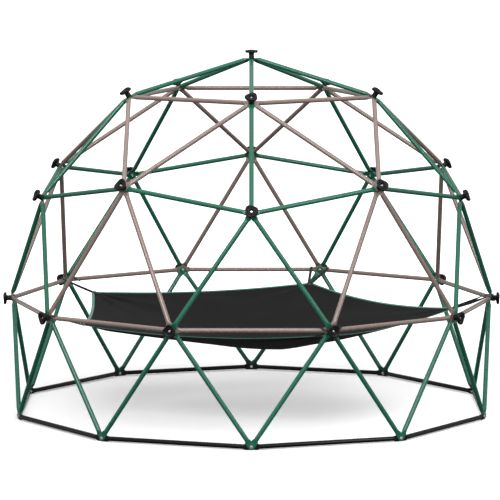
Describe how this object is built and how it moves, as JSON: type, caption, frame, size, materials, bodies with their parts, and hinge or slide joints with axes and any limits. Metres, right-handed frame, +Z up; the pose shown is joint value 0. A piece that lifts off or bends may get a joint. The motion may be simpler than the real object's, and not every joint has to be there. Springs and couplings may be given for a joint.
{
  "type": "dome climber",
  "caption": "Geodesic dome climbing frame of bolted steel tubes with moulded hand grips at its joints and a sheet hammock hung inside.",
  "frame": {"origin": "on the ground under the middle of the dome", "axes": "+Z up; front at -Y, where one ground joint and one mid-height joint line up; +X to the right seen from the front"},
  "size_m": [3.797, 3.6804, 2.7346],
  "materials": {
    "green_tube": "semi-gloss green powder coat",
    "taupe_tube": "semi-gloss taupe powder coat",
    "black_tube": "glossy black powder coat",
    "black_grip": "satin moulded, black",
    "seat_fabric": "plain woven, matt black",
    "edge_tape": "woven tape, green",
    "webbing": "woven webbing, black"
  },
  "bodies": {
    "frame": {"base_ring": "black_tube", "crown_ribs": "green_tube", "crown_ring": "taupe_tube", "hammock_strap_1": "webbing", "hammock_strap_2": "webbing", "hammock_strap_3": "webbing", "hammock_strap_4": "webbing", "hammock_strap_5": "webbing", "hand_grip_crown": "black_grip", "hand_grip_shoulder_0": "black_grip", "hand_grip_shoulder_108": "black_grip", "hand_grip_shoulder_144": "black_grip", "hand_grip_shoulder_180": "black_grip", "hand_grip_shoulder_216": "black_grip", "hand_grip_shoulder_252": "black_grip", "hand_grip_shoulder_288": "black_grip", "hand_grip_shoulder_324": "black_grip", "hand_grip_shoulder_36": "black_grip", "hand_grip_shoulder_72": "black_grip", "hand_grip_upper_0": "black_grip", "hand_grip_upper_144": "black_grip", "hand_grip_upper_216": "black_grip", "hand_grip_upper_288": "black_grip", "hand_grip_upper_72": "black_grip", "hand_grip_waist_126": "black_grip", "hand_grip_waist_162": "black_grip", "hand_grip_waist_18": "black_grip", "hand_grip_waist_198": "black_grip", "hand_grip_waist_234": "black_grip", "hand_grip_waist_270": "black_grip", "hand_grip_waist_306": "black_grip", "hand_grip_waist_342": "black_grip", "hand_grip_waist_54": "black_grip", "hand_grip_waist_90": "black_grip", "leg_pair_01": "green_tube", "leg_pair_02": "green_tube", "leg_pair_03": "green_tube", "leg_pair_04": "green_tube", "leg_pair_05": "green_tube", "leg_pair_06": "green_tube", "leg_pair_07": "green_tube", "leg_pair_08": "green_tube", "leg_pair_09": "green_tube", "leg_pair_10": "green_tube", "shoulder_brown_pair_01": "taupe_tube", "shoulder_brown_pair_02": "taupe_tube", "shoulder_brown_pair_03": "taupe_tube", "shoulder_brown_pair_04": "taupe_tube", "shoulder_brown_pair_05": "taupe_tube", "shoulder_green_pair_01": "green_tube", "shoulder_green_pair_02": "green_tube", "shoulder_green_pair_03": "green_tube", "shoulder_green_pair_04": "green_tube", "shoulder_green_pair_05": "green_tube", "shoulder_ring": "green_tube", "upper_diagonals": "taupe_tube", "waist_ring": "taupe_tube"},
    "hammock": {"hammock_binding": "edge_tape", "hammock_sheet": "seat_fabric"}
  },
  "joints": [
    {"name": "hammock_sag", "type": "slide", "parent": "frame", "child": "hammock", "axis": [0, 0, -1], "range_m": [0, 0.12], "stiffness_N_per_m": 9000, "springref_m": -0.003, "deforming": ["hammock_strap_1", "hammock_strap_2", "hammock_strap_3", "hammock_strap_4", "hammock_strap_5"]}
  ]
}
